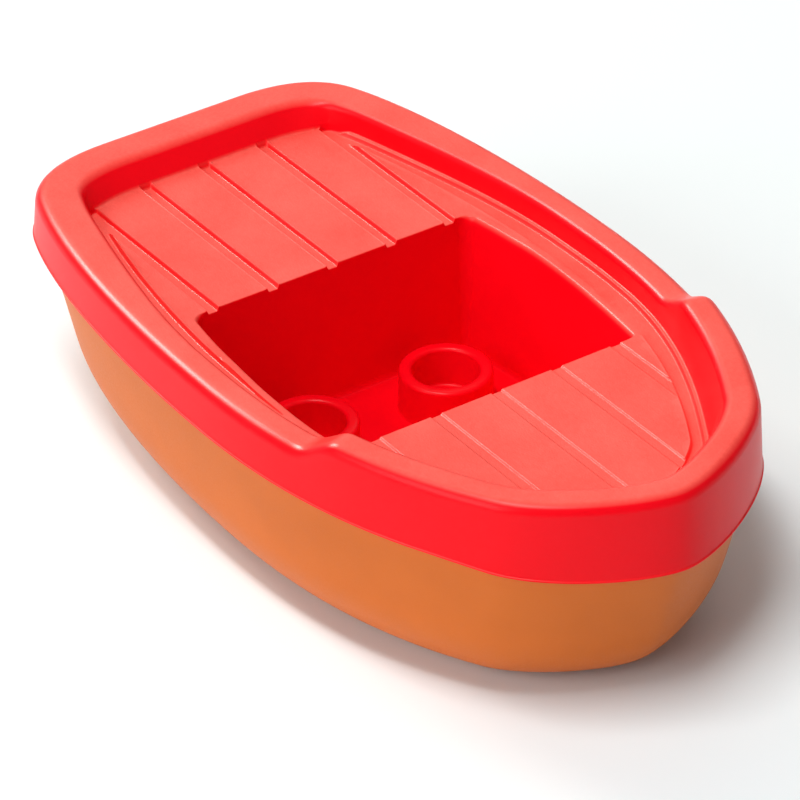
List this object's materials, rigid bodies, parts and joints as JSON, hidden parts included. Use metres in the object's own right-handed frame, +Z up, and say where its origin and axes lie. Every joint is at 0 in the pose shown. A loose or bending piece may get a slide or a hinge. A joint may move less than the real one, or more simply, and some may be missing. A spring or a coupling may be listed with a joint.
{
  "type": "toy boat",
  "caption": "Moulded toy boat with a flat-bottomed tan hull, a red planked deck with a raised bow bulwark, and a cockpit well with two hollow building studs",
  "frame": {"origin": "on the floor, under the middle of the bounding box", "axes": "+X to the bow, +Y to port, +Z up"},
  "size_m": [0.087, 0.0494, 0.025],
  "materials": {
    "hull": "satin moulded, pigmented tan",
    "deck": "satin moulded, pigmented red",
    "seal": "moulded",
    "ballast": "zinc plated"
  },
  "bodies": {
    "root": {"hull_shell": "hull", "deck_moulding": "deck", "rim_seal": "seal", "ballast_plate": "ballast"}
  },
  "joints": []
}
